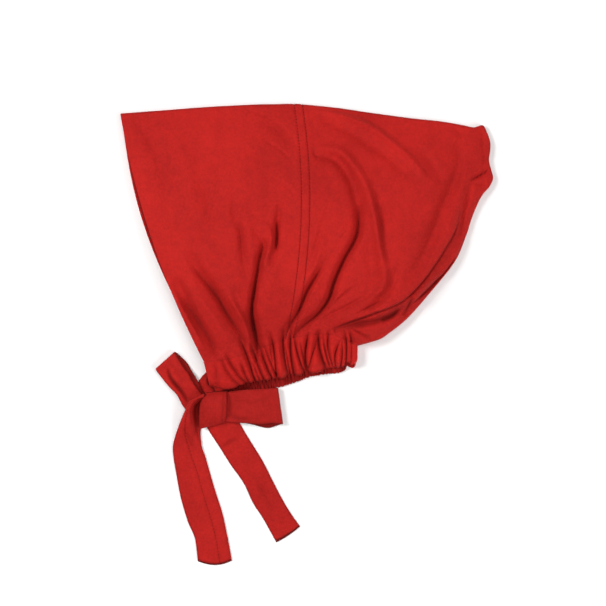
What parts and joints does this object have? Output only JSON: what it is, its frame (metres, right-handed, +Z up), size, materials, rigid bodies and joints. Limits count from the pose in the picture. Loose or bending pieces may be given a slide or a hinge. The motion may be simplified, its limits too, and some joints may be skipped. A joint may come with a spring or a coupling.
{
  "type": "hijab underscarf cap",
  "caption": "Soft jersey underscarf cap lying on its side: seamed crown, gathered elastic casing and neck ties in a bow.",
  "frame": {"origin": "centre of the whole object's box, on the surface that the cap lies on", "axes": "+X from the face edge to the back tip, +Y from the tie ends to the crown fold, +Z up from the surface it lies on"},
  "size_m": [0.31, 0.3826, 0.0292],
  "materials": {
    "panel_jersey": "matte fine-knit jersey",
    "seam_jersey": "matte jersey, double row of topstitching",
    "casing_jersey": "matte jersey gathered on elastic",
    "tie_jersey": "matte jersey, doubled strip"
  },
  "bodies": {
    "root": {"front_panel": "panel_jersey", "crown_seam": "seam_jersey", "back_panel": "panel_jersey", "elastic_casing": "casing_jersey", "near_tie_root": "tie_jersey", "far_tie_root": "tie_jersey", "bow_knot": "tie_jersey", "bow_loop_left": "tie_jersey", "bow_loop_right": "tie_jersey", "tie_tail_left": "tie_jersey", "tie_tail_right": "tie_jersey"}
  },
  "joints": []
}
